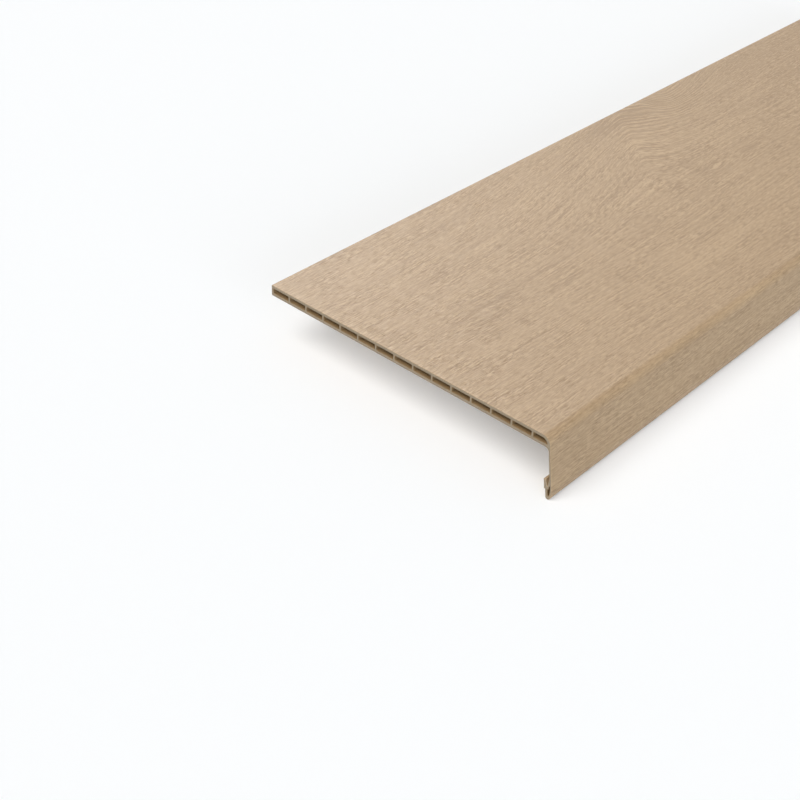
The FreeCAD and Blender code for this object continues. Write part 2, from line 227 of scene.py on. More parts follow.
class Pencil:
    """Draws a section by extruding and spinning the last vertex of a chain."""

    def __init__(self, name, x, start):
        bpy.ops.object.select_all(action="DESELECT")
        bpy.ops.mesh.primitive_plane_add(size=0.001, location=(0.0, 0.0, 0.0))
        self.piece = bpy.context.object
        self.piece.name = name
        bpy.ops.object.mode_set(mode="EDIT")
        bpy.ops.mesh.merge(type="CENTER")
        bpy.ops.transform.translate(value=(x, start.x, start.y))
        self.x = x
        self.at = start.copy()

    def line(self, end, step=None):
        """A straight run, in equal parts of about the given step."""
        gap = end - self.at
        parts = max(1, round(gap.length / step)) if step else 1
        for _ in range(parts):
            bpy.ops.mesh.extrude_region_move(
                TRANSFORM_OT_translate={"value": (0.0, gap.x / parts, gap.y / parts)}
            )
        self.at = end.copy()

    def arc(self, centre, first, last, steps, way=1):
        """An arc about a centre between two directions: way 1 is anticlockwise."""
        turn = (angle_of(last) - angle_of(first)) * way % math.tau * way
        bpy.ops.mesh.spin(
            steps=steps, angle=-turn, center=(self.x, centre.x, centre.y), axis=AXIS
        )
        self.at = centre + unit(last) * (self.at - centre).length

    def close(self):
        """Joins the chain's two ends and leaves edit mode."""
        bpy.ops.mesh.select_all(action="SELECT")
        bpy.ops.mesh.remove_doubles(threshold=MERGE * 10)
        bpy.ops.object.mode_set(mode="OBJECT")
        return self.piece


def choose(piece, test):
    """Selects the vertices of a piece that pass a test, and leaves it in edit mode."""
    bpy.ops.object.mode_set(mode="EDIT")
    bpy.ops.mesh.select_mode(type="VERT")
    bpy.ops.mesh.select_all(action="DESELECT")
    bpy.ops.object.mode_set(mode="OBJECT")
    for vertex in piece.data.vertices:
        vertex.select = test(vertex.co)
    bpy.ops.object.mode_set(mode="EDIT")


def run_along(piece, t, columns, rim, side):
    """Extrudes a section along the tread and rounds both its sawn rims."""
    near = -t.length / 2 + rim
    far = t.length / 2 - rim
    bpy.ops.object.mode_set(mode="EDIT")
    bpy.ops.mesh.select_all(action="SELECT")
    bpy.ops.mesh.extrude_repeat(steps=columns, offset=((far - near) / columns, 0.0, 0.0))
    bpy.ops.mesh.select_all(action="SELECT")
    bpy.ops.mesh.normals_make_consistent(inside=False)
    bpy.ops.object.mode_set(mode="OBJECT")
    for vertex in piece.data.vertices:
        if abs(vertex.co.x - far) < rim / 10:
            vertex.co.x = far
    turns = [math.radians(a) for a in (0.0, 30.0, 60.0, 90.0)]
    for end, way in ((near, -1), (far, 1)):
        choose(piece, lambda co: abs(co.x - end) < ROUND)
        for before, after in zip(turns, turns[1:]):
            reach = rim * (math.sin(after) - math.sin(before))
            inset = rim * (math.cos(before) - math.cos(after))
            bpy.ops.mesh.extrude_region_move(
                TRANSFORM_OT_translate={"value": (way * reach, 0.0, 0.0)}
            )
            bpy.ops.transform.shrink_fatten(value=side * inset, use_even_offset=True)
        bpy.ops.object.mode_set(mode="OBJECT")


def outer_section(s, t, f):
    """The outside of board, nose, skirt and foot, drawn from the middle of the rear edge."""
    x = -t.length / 2 + f.rim
    corner = t.rear_radius
    inside = s.rear - corner
    forward = -s.back
    step = f.row
    start = Vector((s.rear, (s.top + s.under) / 2))
    pencil = Pencil("tread", x, start)
    pencil.line(Vector((s.rear, s.top - corner)))
    pencil.arc(Vector((inside, s.top - corner)), REARWARD, UP, 4)
    pencil.line(Vector((s.nose_centre.x, s.top)), step)
    pencil.arc(s.nose_centre, UP, forward, 12)
    pencil.line(s.skirt_foot, step)
    turn = s.heel_centre - s.toe_centre
    pencil.arc(s.toe_centre, forward, turn, 8)
    pencil.arc(s.heel_centre, turn, s.back, 10)
    barb_in = s.behind_skirt(t.foot_width, t.barb_height)
    barb_out = barb_in + s.back * t.barb_step
    lip_depth = t.foot_width + t.barb_step
    lip_rear = s.behind_skirt(lip_depth, t.lip_height)
    lip_front = s.behind_skirt(lip_depth - t.lip_wall, t.lip_height)
    groove_rear = touch(lip_front, s.groove_bottom, t.groove_radius, -1)
    for place in (barb_in, barb_out, lip_rear, lip_front, groove_rear):
        pencil.line(place)
    pencil.arc(
        s.groove_bottom, groove_rear - s.groove_bottom, s.groove_front - s.groove_bottom, 6, -1
    )
    pencil.line(s.groove_top)
    pencil.line(s.inner_centre - s.back * t.inner_radius)
    pencil.arc(s.inner_centre, forward, UP, 8, -1)
    pencil.line(Vector((inside, s.under)))
    pencil.arc(Vector((inside, s.under + corner)), DOWN, REARWARD, 4)
    pencil.line(start)
    return pencil.close()


def chamber_section(s, t, f):
    """The chamber next to the rear edge."""
    corner = t.chamber_radius
    rear = s.rear - t.rear_wall
    front = rear - (t.pitch - t.web_wall)
    roof = s.top - t.face_wall
    floor = s.under + t.back_wall
    pencil = Pencil("chamber", -t.length / 2 + f.rim, Vector((rear - corner, roof)))
    pencil.line(Vector((front + corner, roof)))
    pencil.arc(Vector((front + corner, roof - corner)), UP, -REARWARD, 4)
    pencil.line(Vector((front, floor + corner)))
    pencil.arc(Vector((front + corner, floor + corner)), -REARWARD, DOWN, 4)
    pencil.line(Vector((rear - corner, floor)))
    pencil.arc(Vector((rear - corner, floor + corner)), DOWN, REARWARD, 4)
    pencil.line(Vector((rear, roof - corner)))
    pencil.arc(Vector((rear - corner, roof - corner)), REARWARD, UP, 4)
    return pencil.close()


def nose_chamber_section(s, t, f):
    """The last chamber, whose front follows the bend."""
    radius = t.nose_radius - t.face_wall
    roof = s.top - t.face_wall
    floor = s.under + t.back_wall
    end = s.rear - t.rear_wall - t.pitch * t.chambers
    corner = t.chamber_radius
    rise = floor - s.nose_centre.y
    tip = Vector((s.nose_centre.x - math.sqrt(radius**2 - rise**2), floor))
    pencil = Pencil("nose_chamber", -t.length / 2 + f.rim, Vector((end - corner, roof)))
    pencil.line(Vector((s.nose_centre.x, roof)))
    pencil.arc(s.nose_centre, UP, tip - s.nose_centre, 10)
    pencil.line(Vector((end - corner, floor)))
    pencil.arc(Vector((end - corner, floor + corner)), DOWN, REARWARD, 4)
    pencil.line(Vector((end, roof - corner)))
    pencil.arc(Vector((end - corner, roof - corner)), REARWARD, UP, 4)
    return pencil.close()


def foot_chamber_section(s, t, f):
    """The closed chamber in the foot, between the skirt's face and the groove."""
    face = unit(s.groove_front - s.groove_top)
    away = Vector((face.y, -face.x))
    line = s.groove_top + away * (t.groove_wall + t.foot_tip)
    start = s.behind_skirt(t.foot_skin + t.foot_tip, t.lip_height)
    tip_centre = meet(line, face, start, s.down)
    tip_rear = tip_centre - away * t.foot_tip
    inside = t.toe_radius - t.foot_skin
    depth = t.foot_width - t.foot_back
    bottom = s.under_toe(inside, depth, t.foot_corner)
    turn = bottom - s.toe_centre
    level = t.lip_height - t.groove_depth - t.groove_floor
    forward = -s.back
    pencil = Pencil("foot_chamber", -t.length / 2 + f.rim, tip_rear)
    pencil.arc(tip_centre, -away, forward, 4)
    pencil.line(s.toe_centre + forward * inside)
    pencil.arc(s.toe_centre, forward, turn, 6)
    pencil.arc(bottom, turn, s.back, 6)
    pencil.line(s.behind_skirt(depth, level))
    pencil.line(meet(tip_rear, face, Vector((0.0, level)), REARWARD))
    pencil.line(tip_rear)
    return pencil.close()


def smoothstep(low, high, value):
    t = numpy.clip((value - low) / (high - low), 0.0, 1.0)
    return t * t * (3.0 - 2.0 * t)


# Eyes of the figure: place along the tread and across it, half length, half width, lift.
EYES = (
    (-0.405, -0.002, 0.020, 0.009, 0.0045),
    (-0.374, -0.002, 0.010, 0.006, 0.0022),
    (-0.183, -0.003, 0.016, 0.007, 0.0036),
    (-0.035, 0.008, 0.014, 0.006, 0.0026),
)
# Darker and paler places in the wood, the last one painted shade that darkens the far end of the tread:
# along and across, half length, half width, depth of tone.
CLOUDS = (
    (0.008, 0.136, 0.034, 0.012, 0.45),
    (-0.048, 0.134, 0.034, 0.010, 0.40),
    (-0.052, 0.094, 0.026, 0.006, -0.40),
    (-0.410, -0.011, 0.034, 0.009, 0.30),
    (-0.100, 0.009, 0.011, 0.006, 0.35),
    (-0.056, 0.012, 0.009, 0.010, 0.40),
    (0.022, 0.006, 0.015, 0.006, 0.40),
    (-0.190, -0.082, 0.050, 0.014, -0.25),
    (-0.360, 0.004, 0.130, 0.0025, 0.30),
    # Painted shade: darkens the whole far end of the tread, standing in for light falling off along it.
    (0.480, 0.020, 0.340, 0.400, 0.36),
)
STRETCH = 12.0
RING_PITCH = 0.0056


def figure(x, y):
    """Flow of the grain: how far each growth line lies off its straight course at (x, y)."""
    lift = 0.0035 * numpy.sin(x / 0.19 + 1.1 * numpy.sin(y / 0.07) + 0.4)
    lift += 0.0018 * numpy.sin(x / 0.083 + y / 0.041 + 1.9)
    lift += 0.0008 * numpy.sin(x / 0.037 - y / 0.027 + 0.7)
    lift += 0.026 * smoothstep(-0.34, -0.06, x) * smoothstep(-0.03, 0.11, y)
    lift += 0.010 * smoothstep(0.10, 0.42, x)
    off = x + 0.050 - 0.85 * (y - 0.097)
    reach = numpy.sqrt(off * off + 0.007**2) - 0.007
    slope = numpy.where(off < 0, numpy.exp(-reach / 0.085), numpy.exp(-reach / 0.050))
    lift += 0.026 * smoothstep(0.0, 0.120, y) * slope
    beyond = x - 0.034 - 0.55 * (y - 0.125)
    tail = numpy.exp(-((numpy.maximum(0.0, beyond - 0.03) / 0.075) ** 2))
    lift -= 0.040 * smoothstep(0.085, 0.155, y) * smoothstep(-0.016, 0.030, beyond) * tail
    for ex, ey, long, wide, rise in EYES:
        across = (y - ey) / wide
        near = numpy.exp(-(((x - ex) / long) ** 2)) * numpy.exp(-((across / 1.8) ** 2))
        lift += rise * numpy.tanh(across * 1.5) * near
    return lift


def wood_tone_and_painted_shade(x, y):
    """Darker and paler places in the wood, and painted shade over the far end: 0 is plain, 1 is much
    darker.
    """
    tone = numpy.zeros_like(x)
    for cx, cy, long, wide, depth in CLOUDS:
        tone += depth * numpy.exp(-(((x - cx) / long) ** 2) - ((y - cy) / wide) ** 2)
    for ex, ey, long, wide, _ in EYES:
        far = numpy.sqrt(((x - ex) / (0.8 * long)) ** 2 + ((y - ey) / wide) ** 2)
        tone += 0.16 * numpy.exp(-(((far - 1.0) / 0.45) ** 2))
    return tone


def ring_strength(x, y):
    """How clearly the growth lines show: most round the crest of the figure."""
    off = (x - 0.03 - 0.4 * (y - 0.12)) / 0.11
    return smoothstep(0.06, 0.125, y) * numpy.exp(-off * off)


def outline_lengths(piece, s):
    """The outline's vertices with their distance round it from the middle of the rear edge."""
    near = min(v.co.x for v in piece.data.vertices)
    mesh = piece.data
    ring = {v.index for v in mesh.vertices if abs(v.co.x - near) < ROUND}
    ties = {}
    for edge in mesh.edges:
        a, b = edge.vertices
        if a in ring and b in ring:
            ties.setdefault(a, []).append(b)
            ties.setdefault(b, []).append(a)
    first = min(ring, key=lambda i: (
        (mesh.vertices[i].co.y - s.rear) ** 2
        + (mesh.vertices[i].co.z - (s.top + s.under) / 2) ** 2
    ))
    after = max(ties[first], key=lambda i: mesh.vertices[i].co.z)
    places, lengths = [mesh.vertices[first].co.copy()], [0.0]
    before, at = first, after
    while at != first:
        co = mesh.vertices[at].co.copy()
        lengths.append(lengths[-1] + (co - places[-1]).length)
        places.append(co)
        before, at = at, next(i for i in ties[at] if i != before)
    total = lengths[-1] + (places[0] - places[-1]).length
    return places, lengths, total


def clear_old(*names):
    for name in names:
        if name in bpy.data.objects:
            bpy.data.objects.remove(bpy.data.objects[name])


def only(piece):
    """Selects one piece and makes it active."""
    bpy.ops.object.select_all(action="DESELECT")
    piece.select_set(True)
    bpy.context.view_layer.objects.active = piece


def fill_end(piece, x):
    """Closes one sawn end round the openings of the chambers."""
    choose(piece, lambda co: abs(co.x - x) < ROUND)
    bpy.ops.mesh.select_mode(type="EDGE")
    bpy.ops.mesh.fill(use_beauty=True)
    bpy.ops.object.mode_set(mode="OBJECT")


def new_node(tree, kind, place=(0, 0), **values):
    made = tree.nodes.new(kind)
    made.location = place
    for name, value in values.items():
        setattr(made, name, value)
    return made


def add_sockets(tree, inputs, outputs):
    for name, kind, default in inputs:
        socket = tree.interface.new_socket(name=name, in_out="INPUT", socket_type=kind)
        if default is not None:
            socket.default_value = default
    for name, kind in outputs:
        tree.interface.new_socket(name=name, in_out="OUTPUT", socket_type=kind)


def stretched_noise(tree, vector, along, across, detail, roughness, offset=(0.0, 0.0, 0.0), warp=0.0):
    """Noise whose grains are so long and so wide, in metres, on figure coordinates."""
    mapping = new_node(tree, "ShaderNodeMapping")
    mapping.inputs["Scale"].default_value = (STRETCH / along, 1.0 / across, 1.0)
    mapping.inputs["Location"].default_value = offset
    tree.links.new(vector, mapping.inputs["Vector"])
    noise = new_node(tree, "ShaderNodeTexNoise", noise_dimensions="2D")
    noise.inputs["Scale"].default_value = 1.0
    noise.inputs["Detail"].default_value = detail
    noise.inputs["Roughness"].default_value = roughness
    noise.inputs["Distortion"].default_value = warp
    tree.links.new(mapping.outputs["Vector"], noise.inputs["Vector"])
    return noise.outputs["Fac"]


def math_node(tree, operation, a, b=None, c=None, clamp=False):
    made = new_node(tree, "ShaderNodeMath", operation=operation, use_clamp=clamp)
    for socket, value in zip(made.inputs, (a, b, c)):
        if value is None:
            continue
        if isinstance(value, (int, float)):
            socket.default_value = value
        else:
            tree.links.new(value, socket)
    return made.outputs[0]


def range_node(tree, value, low, high, to_low=0.0, to_high=1.0, smooth=False):
    made = new_node(tree, "ShaderNodeMapRange")
    made.interpolation_type = "SMOOTHSTEP" if smooth else "LINEAR"
    tree.links.new(value, made.inputs["Value"])
    for name, number in (
        ("From Min", low), ("From Max", high), ("To Min", to_low), ("To Max", to_high)
    ):
        made.inputs[name].default_value = number
    return made.outputs["Result"]


def mix_colours(tree, factor, a, b):
    made = new_node(tree, "ShaderNodeMix", data_type="RGBA")
    for socket, value in (("Factor", factor), ("A", a), ("B", b)):
        target = next(i for i in made.inputs if i.name == socket and i.enabled)
        if isinstance(value, (int, float, tuple)):
            target.default_value = value
        else:
            tree.links.new(value, target)
    return next(o for o in made.outputs if o.enabled)


def oak_group():
    """Brushed oak: colour, roughness and height from the figure coordinates."""
    tree = bpy.data.node_groups.new("brushed_oak", "ShaderNodeTree")
    add_sockets(
        tree,
        (
            ("Figure", "NodeSocketVector", None),
            ("Tone", "NodeSocketFloat", 0.0),
            ("Rings", "NodeSocketFloat", 0.0),
            ("Light", "NodeSocketColor", (0.5, 0.4, 0.3, 1.0)),
            ("Dark", "NodeSocketColor", (0.4, 0.3, 0.2, 1.0)),
            ("Pore", "NodeSocketColor", (0.2, 0.15, 0.1, 1.0)),
        ),
        (
            ("Colour", "NodeSocketColor"),
            ("Roughness", "NodeSocketFloat"),
            ("Height", "NodeSocketFloat"),
        ),
    )
    entry = new_node(tree, "NodeGroupInput")
    leave = new_node(tree, "NodeGroupOutput")
    vector = entry.outputs["Figure"]
    patches = stretched_noise(tree, vector, 0.075, 0.026, 2.0, 0.5)
    rings = stretched_noise(tree, vector, 0.40, 0.0048, 1.0, 0.5, (3.0, 7.0, 0.0))
    brushed = stretched_noise(tree, vector, 0.040, 0.016, 1.0, 0.5, (31.0, 12.0, 0.0))
    streaks = stretched_noise(tree, vector, 0.0088, 0.0012, 1.0, 0.5, (11.0, 2.0, 0.0))
    lines = stretched_noise(tree, vector, 0.090, 0.0013, 0.0, 0.5, (41.0, 6.0, 0.0))
    fibres = stretched_noise(tree, vector, 0.0045, 0.0006, 1.0, 0.5, (5.0, 19.0, 0.0))
    pores = stretched_noise(tree, vector, 0.0045, 0.00045, 0.0, 0.5, (23.0, 4.0, 0.0))
    wander = stretched_noise(tree, vector, 0.110, 0.018, 1.0, 0.5, (53.0, 8.0, 0.0))
    breaks = stretched_noise(tree, vector, 0.022, 0.0042, 1.0, 0.5, (61.0, 3.0, 0.0))
    split = new_node(tree, "ShaderNodeSeparateXYZ")
    tree.links.new(vector, split.inputs["Vector"])
    phase = math_node(tree, "MULTIPLY", split.outputs["Y"], math.tau / RING_PITCH)
    phase = math_node(tree, "MULTIPLY_ADD", wander, 10.0, phase)
    wave = math_node(tree, "SINE", phase)
    share = range_node(tree, breaks, 0.35, 0.65, 0.0, 0.14, smooth=True)
    share = math_node(tree, "MULTIPLY_ADD", entry.outputs["Rings"], 0.40, share)
    wave = math_node(tree, "MULTIPLY", wave, share)
    strength = range_node(tree, brushed, 0.35, 0.65, 0.65, 1.25, smooth=True)
    fine = math_node(tree, "MULTIPLY_ADD", streaks, 1.50, -1.20)
    fine = math_node(tree, "MULTIPLY_ADD", lines, 0.90, fine)
    fine = math_node(tree, "ADD", fine, wave)
    fine = math_node(tree, "MULTIPLY", fine, strength)
    tone = math_node(tree, "ADD", fine, entry.outputs["Tone"])
    tone = math_node(tree, "MULTIPLY_ADD", patches, 0.27, tone)
    tone = math_node(tree, "MULTIPLY_ADD", rings, 0.32, tone)
    tone = math_node(tree, "MULTIPLY_ADD", fibres, 0.58, tone)
    tone = math_node(tree, "SUBTRACT", tone, 0.130)
    tone = range_node(tree, tone, 0.0, 1.0)
    colour = mix_colours(tree, tone, entry.outputs["Light"], entry.outputs["Dark"])
    open_pores = range_node(tree, pores, 0.62, 0.74, smooth=True)
    open_pores = math_node(tree, "MULTIPLY", open_pores, strength)
    share = math_node(tree, "MULTIPLY", open_pores, 0.40, clamp=True)
    colour = mix_colours(tree, share, colour, entry.outputs["Pore"])
    height = math_node(tree, "MULTIPLY_ADD", fine, -0.6, 1.0)
    height = math_node(tree, "MULTIPLY_ADD", fibres, -0.4, height)
    height = math_node(tree, "MULTIPLY_ADD", open_pores, -0.6, height)
    rough = range_node(tree, streaks, 0.3, 0.7, 0.38, 0.50)
    rough = math_node(tree, "MULTIPLY_ADD", open_pores, 0.15, rough)
    tree.links.new(colour, leave.inputs["Colour"])
    tree.links.new(rough, leave.inputs["Roughness"])
    tree.links.new(height, leave.inputs["Height"])
    return tree


def start_material(name):
    made = bpy.data.materials.new(name)
    made.use_nodes = True
    tree = made.node_tree
    tree.nodes.clear()
    shader = new_node(tree, "ShaderNodeBsdfPrincipled")
    out = new_node(tree, "ShaderNodeOutputMaterial", (300, 0))
    tree.links.new(shader.outputs["BSDF"], out.inputs["Surface"])
    return made, tree, shader


def add_bump(tree, shader, height, distance, strength=1.0):
    bump = new_node(tree, "ShaderNodeBump")
    bump.inputs["Strength"].default_value = strength
    bump.inputs["Distance"].default_value = distance
    tree.links.new(height, bump.inputs["Height"])
    tree.links.new(bump.outputs["Normal"], shader.inputs["Normal"])


def oak_material(f):
    """The brushed oak face of the tread."""
    made, tree, shader = start_material("oak_face")
    place = new_node(tree, "ShaderNodeUVMap", uv_map="figure")
    # The tone carries the wood's own darker and paler places, and painted shade over the far end.
    clouds = new_node(tree, "ShaderNodeAttribute", attribute_name="wood_tone_and_painted_shade")
    rings = new_node(tree, "ShaderNodeAttribute", attribute_name="wood_rings")
    wood = new_node(tree, "ShaderNodeGroup", node_tree=oak_group())
    for name, value in (("Light", f.light), ("Dark", f.dark), ("Pore", f.pore)):
        wood.inputs[name].default_value = (*value, 1.0)
    tree.links.new(place.outputs["UV"], wood.inputs["Figure"])
    tree.links.new(clouds.outputs["Fac"], wood.inputs["Tone"])
    tree.links.new(rings.outputs["Fac"], wood.inputs["Rings"])
    tree.links.new(wood.outputs["Colour"], shader.inputs["Base Color"])
    tree.links.new(wood.outputs["Roughness"], shader.inputs["Roughness"])
    add_bump(tree, shader, wood.outputs["Height"], f.bump)
    shader.inputs["Specular IOR Level"].default_value = 0.2
    return made


def plastic_material(name, base, scale, depth):
    """Uncovered plastic: fine marks, faint clouding."""
    made, tree, shader = start_material(name)
    place = new_node(tree, "ShaderNodeTexCoord")
    clouds = new_node(tree, "ShaderNodeTexNoise")
    clouds.inputs["Scale"].default_value = 60.0
    clouds.inputs["Detail"].default_value = 3.0
    tree.links.new(place.outputs["Object"], clouds.inputs["Vector"])
    mapping = new_node(tree, "ShaderNodeMapping")
    mapping.inputs["Scale"].default_value = scale
    tree.links.new(place.outputs["Object"], mapping.inputs["Vector"])
    marks = new_node(tree, "ShaderNodeTexNoise")
    marks.inputs["Scale"].default_value = 1.0
    marks.inputs["Detail"].default_value = 2.0
    tree.links.new(mapping.outputs["Vector"], marks.inputs["Vector"])
    tone = math_node(tree, "MULTIPLY_ADD", marks.outputs["Fac"], 0.5, 0.25)
    tone = math_node(tree, "MULTIPLY_ADD", clouds.outputs["Fac"], 0.5, tone)
    tone = range_node(tree, tone, 0.55, 0.95)
    pale = tuple(min(1.0, c * 1.06) for c in base)
    deep = tuple(c * 0.90 for c in base)
    colour = mix_colours(tree, tone, (*pale, 1.0), (*deep, 1.0))
    tree.links.new(colour, shader.inputs["Base Color"])
    rough = range_node(tree, marks.outputs["Fac"], 0.3, 0.7, 0.46, 0.60)
    tree.links.new(rough, shader.inputs["Roughness"])
    add_bump(tree, shader, marks.outputs["Fac"], depth)
    return made


def lay_figure(piece, s, t, places, lengths, total):
    """Returns each vertex's place, its distance round the outline, and how far it lies off the outline.
    """
    tree = KDTree(len(places))
    for index, co in enumerate(places):
        tree.insert((0.0, co.y, co.z), index)
    tree.balance()
    mesh = piece.data
    count = len(mesh.vertices)
    co = numpy.empty(count * 3)
    mesh.vertices.foreach_get("co", co)
    co = co.reshape(-1, 3)
    around = numpy.empty(count)
    off = numpy.empty(count)
    found = {}
    for i in range(count):
        key = (round(co[i, 1], 6), round(co[i, 2], 6))
        if key not in found:
            _, index, gap = tree.find((0.0, co[i, 1], co[i, 2]))
            found[key] = (lengths[index], gap)
        around[i], off[i] = found[key]
    return co, around, off


def mark_strip(hole, number):
    """Marks each vertex of a chamber with the chamber's number and its turn round it."""
    mesh = hole.data
    co = numpy.empty(len(mesh.vertices) * 3)
    mesh.vertices.foreach_get("co", co)
    co = co.reshape(-1, 3) - co.reshape(-1, 3).mean(0)
    turn = numpy.arctan2(co[:, 2], co[:, 1]) / math.tau + 0.5
    values = mesh.attributes.new("strip", "FLOAT", "POINT")
    values.data.foreach_set("value", (number + turn).astype(numpy.float32))


def bake_map(t, kinds, co, around, strip, high, heel, total):
    """Texture places of all corners: the face takes most of the height, bare parts the rest."""
    u = 0.002 + 0.996 * (co[:, 0] / t.length + 0.5)
    v = 0.300 + 0.695 * (around - high) / (heel - high)
    past = numpy.where(around < (high + heel) / 2, around + total, around)
    v = numpy.where(kinds == 1, 0.14 + 0.15 * (past - heel) / (total + high - heel), v)
    v = numpy.where(kinds == 3, 0.098 + 0.0022 * strip, v)
    scale = 0.48 / t.depth
    end_u = 0.01 + scale * (co[:, 1] + t.depth / 2) + numpy.where(co[:, 0] > 0, 0.5, 0.0)
    u = numpy.where(kinds == 2, end_u, u)
    v = numpy.where(kinds == 2, 0.005 + scale * co[:, 2], v)
    return numpy.stack([u, v], 1)


class TREAD_OT_profile(bpy.types.Operator):
    """Model the hollow tread with its brushed oak face"""

    bl_idname = "tread.profile"
    bl_label = "Stair Tread"
    bl_options = {"REGISTER", "UNDO"}

    def execute(self, context):
        t = context.scene.tread_sizes
        f = context.scene.tread_finish
        s = Section(t)
        clear_old("tread")
        oak = oak_material(f)
        bare = plastic_material("bare_profile", f.bare, (3.0, 900.0, 900.0), 0.00004)
        # The chamber walls take a much darker colour than the bare profile: painted shade inside the
        # chambers.
        inside = plastic_material("chamber_wall_painted_shade", f.inside, (3.0, 900.0, 900.0), 0.00004)
        sawn = plastic_material("sawn_end", f.sawn, (200.0, 200.0, 2400.0), 0.00008)

        tread = outer_section(s, t, f)
        places, lengths, total = outline_lengths(tread, s)
        run_along(tread, t, f.columns, f.rim, -1)
        first = chamber_section(s, t, f)
        run_along(first, t, 1, f.rim, 1)
        nose = nose_chamber_section(s, t, f)
        run_along(nose, t, 1, f.rim, 1)
        foot = foot_chamber_section(s, t, f)
        run_along(foot, t, 1, f.rim, 1)
        holes = [first, nose, foot]
        for number in range(1, t.chambers):
            only(first)
            bpy.ops.object.duplicate_move(
                TRANSFORM_OT_translate={"value": (0.0, -t.pitch * number, 0.0)}
            )
            bpy.ops.object.transform_apply(location=True, rotation=True, scale=True)
            holes.append(context.object)
        for number, hole in enumerate(holes):
            hole.data.materials.clear()
            mark_strip(hole, number)
        only(tread)
        for hole in holes:
            hole.select_set(True)
        bpy.ops.object.join()
        bpy.ops.object.transform_apply(location=True, rotation=True, scale=True)
        for end in (-t.length / 2, t.length / 2):
            fill_end(tread, end)
        bpy.ops.object.mode_set(mode="EDIT")
        bpy.ops.mesh.select_all(action="SELECT")
        bpy.ops.mesh.normals_make_consistent(inside=False)
        bpy.ops.object.mode_set(mode="OBJECT")
        tread.name = "tread"
        mesh = tread.data
        mesh.name = "tread"
        mesh.materials.clear()
        for material in (oak, bare, sawn, inside):
            mesh.materials.append(material)

        co, around, off = lay_figure(tread, s, t, places, lengths, total)
        high = t.board / 2 - t.rear_radius + math.pi / 4 * t.rear_radius
        heel = (
            t.board / 2 - t.rear_radius + math.pi / 2 * t.rear_radius
            + (s.rear - t.rear_radius - s.nose_centre.x)
            + t.skirt_angle * t.nose_radius
            + ((s.nose_centre - s.back * t.nose_radius) - s.skirt_foot).length
            + 25.8 * math.pi / 180 * t.toe_radius
            + math.radians(70.0) * t.heel_radius
        )
        on_skin = (off < f.rim * 1.2) & (around > high - ROUND) & (around < heel)
        corners = numpy.empty(len(mesh.loops), int)
        mesh.loops.foreach_get("vertex_index", corners)
        kinds = numpy.empty(len(mesh.polygons), int)
        starts = numpy.empty(len(mesh.polygons), int)
        sizes = numpy.empty(len(mesh.polygons), int)
        mesh.polygons.foreach_get("loop_start", starts)
        mesh.polygons.foreach_get("loop_total", sizes)
        corner_around = around[corners].copy()
        corner_x = co[corners, 0]
        strip = numpy.empty(len(mesh.vertices))
        mesh.attributes["strip"].data.foreach_get("value", strip)
        mesh.attributes.remove(mesh.attributes["strip"])
        strip = strip[corners]
        for index, (start, size) in enumerate(zip(starts, sizes)):
            span = slice(start, start + size)
            verts = corners[span]
            if numpy.ptp(co[verts, 0]) < ROUND:
                kinds[index] = 2
            elif on_skin[verts].all():
                kinds[index] = 0
            elif (off[verts] > f.rim * 1.5).all():
                kinds[index] = 3
            else:
                kinds[index] = 1
            if numpy.ptp(corner_around[span]) > total / 2:
                low = corner_around[span] < total / 2
                corner_around[span] = numpy.where(
                    low, corner_around[span] + total, corner_around[span]
                )
            if kinds[index] == 3 and numpy.ptp(strip[span]) > 0.5:
                strip[span] += strip[span] % 1.0 < 0.5
        mesh.polygons.foreach_set("material_index", kinds)
        unrolled = s.rear - (corner_around - high)
        ring = unrolled - figure(corner_x, unrolled)
        uv = numpy.stack([corner_x / STRETCH, ring], 1)
        for old in list(mesh.uv_layers):
            mesh.uv_layers.remove(old)
        layer = mesh.uv_layers.new(name="figure")
        layer.data.foreach_set("uv", uv.astype(numpy.float32).ravel())
        places = bake_map(
            t, numpy.repeat(kinds, sizes), co[corners], corner_around, strip, high, heel, total
        )
        layer = mesh.uv_layers.new(name="OFBake")
        layer.data.foreach_set("uv", places.astype(numpy.float32).ravel())
        # The tone written here includes painted shade over the far end as well as the wood's own tone.
        for name, rule in (("wood_tone_and_painted_shade", wood_tone_and_painted_shade), ("wood_rings", ring_strength)):
            values = mesh.attributes.new(name, "FLOAT", "POINT")
            values.data.foreach_set("value", rule(co[:, 0], s.rear - (around - high)))
        mesh.update()

        group = tread.vertex_groups.new(name="face")
        fade = numpy.minimum(
            smoothstep(0.0, 0.002, t.length / 2 - f.rim - numpy.abs(co[:, 0])),
            smoothstep(0.0, 0.002, numpy.minimum(around - high, heel - around)),
        ) * on_skin
        for level in range(1, 11):
            chosen = numpy.nonzero(numpy.round(fade * 10) == level)[0]
            group.add([int(i) for i in chosen], level / 10, "REPLACE")
        brushed = bpy.data.textures.new("brushed_grain", "CLOUDS")
        brushed.noise_scale = 0.0032
        brushed.noise_depth = 2
        only(tread)
        relief = tread.modifiers.new("relief", "DISPLACE")
        relief.texture = brushed
        relief.texture_coords = "UV"
        relief.uv_layer = "figure"
        relief.mid_level = 1.0
        relief.strength = f.relief
        relief.vertex_group = "face"
        bpy.ops.object.modifier_apply(modifier="relief")
        tread.vertex_groups.clear()
        bpy.ops.object.shade_smooth_by_angle(angle=math.radians(31.0))
        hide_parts(NODE)
        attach(tread, BODY)
        return {"FINISHED"}


def seen_plain(tree):
    """1 for rays that look at the studio: from the camera, a mirror or through glass."""
    path = new_node(tree, "ShaderNodeLightPath")
    seen = math_node(tree, "MAXIMUM", path.outputs["Is Camera Ray"], path.outputs["Is Glossy Ray"])
    return math_node(tree, "MAXIMUM", seen, path.outputs["Is Transmission Ray"])


